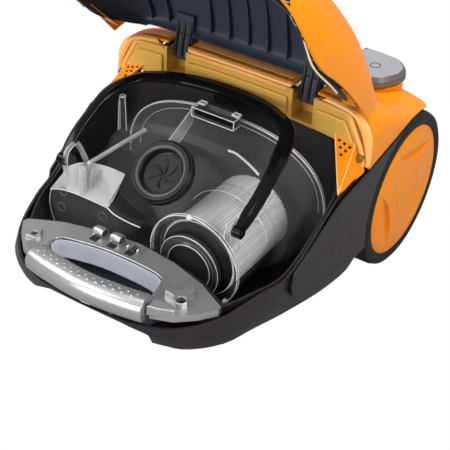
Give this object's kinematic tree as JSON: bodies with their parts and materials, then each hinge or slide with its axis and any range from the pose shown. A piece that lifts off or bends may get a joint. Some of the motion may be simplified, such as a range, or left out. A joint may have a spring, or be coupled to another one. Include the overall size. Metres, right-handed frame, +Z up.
{
  "type": "canister vacuum cleaner",
  "caption": "Wheeled canister vacuum cleaner with its domed lid standing open over a clear bagless dust bin, carry handle in front and foot pedals behind.",
  "frame": {"origin": "on the floor under the middle of the overall box, lid standing open", "axes": "+X to the right wheel, -Y to the front with the carry handle, +Y to the rear with the pedals, +Z up"},
  "size_m": [0.3088, 0.45, 0.3856],
  "materials": {
    "yellow_gloss": "glossy orange-yellow moulding",
    "gold_satin": "satin gold moulding",
    "black_satin": "satin black moulding",
    "black_gloss": "glossy black moulding",
    "slate_satin": "satin blue-grey moulding",
    "silver_satin": "silver-painted satin plastic",
    "grey_satin": "satin grey moulding",
    "clear": "clear transparent plastic",
    "rubber": "matt black rubber",
    "tyre": "black tyre rubber",
    "filter_paper": "white pleated filter paper",
    "steel": "bright steel",
    "motor_block": "bare metal motor casing",
    "white_plastic": "white plastic",
    "board_green": "green circuit board"
  },
  "bodies": {
    "chassis": {"lower_chassis": "black_satin", "bin_tub": "black_satin", "fender_left": "black_satin", "fender_right": "black_satin", "front_panel": "silver_satin", "carry_handle_grip": "silver_satin", "handle_recess_liner": "slate_satin", "rear_cover": "yellow_gloss", "bulkhead": "gold_satin", "side_vent_left": "gold_satin", "side_vent_right": "gold_satin", "wheel_axle_left": "steel", "wheel_axle_right": "steel", "hinge_pin_left": "steel", "hinge_pin_right": "steel", "motor_inlet_grille": "black_satin", "motor_seal": "rubber", "motor_housing": "black_satin", "motor": "motor_block", "reel_axle": "steel", "cord_outlet": "black_satin", "power_switch": "white_plastic", "control_board": "board_green", "exhaust_filter": "filter_paper", "exhaust_grille": "grey_satin", "power_pedal_spring": "steel", "rewind_pedal_spring": "steel"},
    "lid": {"lid_shell": "yellow_gloss", "lid_liner": "slate_satin", "lid_seal": "rubber", "hose_port": "black_satin", "hose_port_seal": "rubber"},
    "lid_catch": {"lid_latch": "black_satin"},
    "bin": {"bin_body": "clear", "bin_rear_cover": "clear", "inlet_ring": "black_gloss", "pleated_filter": "filter_paper", "filter_outlet_ring": "black_gloss", "filter_end_cap": "black_gloss"},
    "flap": {"inlet_flap": "rubber"},
    "bail": {"bail_handle": "black_gloss"},
    "bin_button": {"bin_latch": "black_satin"},
    "rotor": {"motor_shaft": "steel", "impeller": "grey_satin"},
    "reel": {"cord_reel": "black_satin"},
    "power_pedal_body": {"power_pedal": "grey_satin"},
    "rewind_pedal_body": {"rewind_pedal": "grey_satin"},
    "wheel_left": {"tyre_left": "tyre", "wheel_hub_left": "yellow_gloss"},
    "wheel_right": {"tyre_right": "tyre", "wheel_hub_right": "yellow_gloss"},
    "caster": {"caster_fork": "black_satin", "caster_pin": "steel"},
    "caster_roller": {"caster_wheel": "grey_satin"}
  },
  "joints": [
    {"name": "lid_hinge", "type": "hinge", "parent": "chassis", "child": "lid", "pos_m": [0, 0.045, 0.205], "axis": [-1, 0, 0], "range_deg": [-75, 0]},
    {"name": "lid_catch_pivot", "type": "hinge", "parent": "lid", "child": "lid_catch", "pos_m": [0, -0.05675, 0.3645], "axis": [1, 0, 0], "range_deg": [0, 3], "stiffness_Nm_per_rad": 0.4, "springref_deg": -2.86},
    {"name": "bin_lift", "type": "slide", "parent": "chassis", "child": "bin", "axis": [0, 0, 1], "range_m": [0, 0.1]},
    {"name": "inlet_flap_hinge", "type": "hinge", "parent": "bin", "child": "flap", "pos_m": [0, -0.07874, 0.17489], "axis": [1, 0, 0], "range_deg": [0, 35], "stiffness_Nm_per_rad": 0.01, "springref_deg": -11.46},
    {"name": "bail_pivot", "type": "hinge", "parent": "bin", "child": "bail", "pos_m": [0, -0.118, 0.151], "axis": [1, 0, 0], "range_deg": [0, 80]},
    {"name": "bin_latch_press", "type": "slide", "parent": "bin", "child": "bin_button", "axis": [0, 0, -1], "range_m": [0, 0.003], "stiffness_N_per_m": 400, "springref_m": -0.001},
    {"name": "fan_spin", "type": "hinge", "parent": "chassis", "child": "rotor", "pos_m": [0.04, 0.05, 0.095], "axis": [0, 1, 0], "continuous": true},
    {"name": "reel_spin", "type": "hinge", "parent": "chassis", "child": "reel", "pos_m": [-0.057, 0.1, 0.092], "axis": [1, 0, 0], "continuous": true},
    {"name": "power_pedal_press", "type": "slide", "parent": "chassis", "child": "power_pedal_body", "axis": [0, 0, -1], "range_m": [0, 0.0025], "stiffness_N_per_m": 1500, "springref_m": -0.002},
    {"name": "rewind_pedal_press", "type": "slide", "parent": "chassis", "child": "rewind_pedal_body", "axis": [0, 0, -1], "range_m": [0, 0.0025], "stiffness_N_per_m": 1500, "springref_m": -0.002},
    {"name": "left_wheel_spin", "type": "hinge", "parent": "chassis", "child": "wheel_left", "pos_m": [-0.13, 0.13, 0.0855], "axis": [1, 0, 0], "continuous": true},
    {"name": "right_wheel_spin", "type": "hinge", "parent": "chassis", "child": "wheel_right", "pos_m": [0.13, 0.13, 0.0855], "axis": [1, 0, 0], "continuous": true},
    {"name": "caster_swivel", "type": "hinge", "parent": "chassis", "child": "caster", "pos_m": [0, -0.092, 0.024], "axis": [0, 0, 1], "continuous": true},
    {"name": "caster_spin", "type": "hinge", "parent": "caster", "child": "caster_roller", "pos_m": [0, -0.086, 0.0105], "axis": [1, 0, 0], "continuous": true}
  ]
}
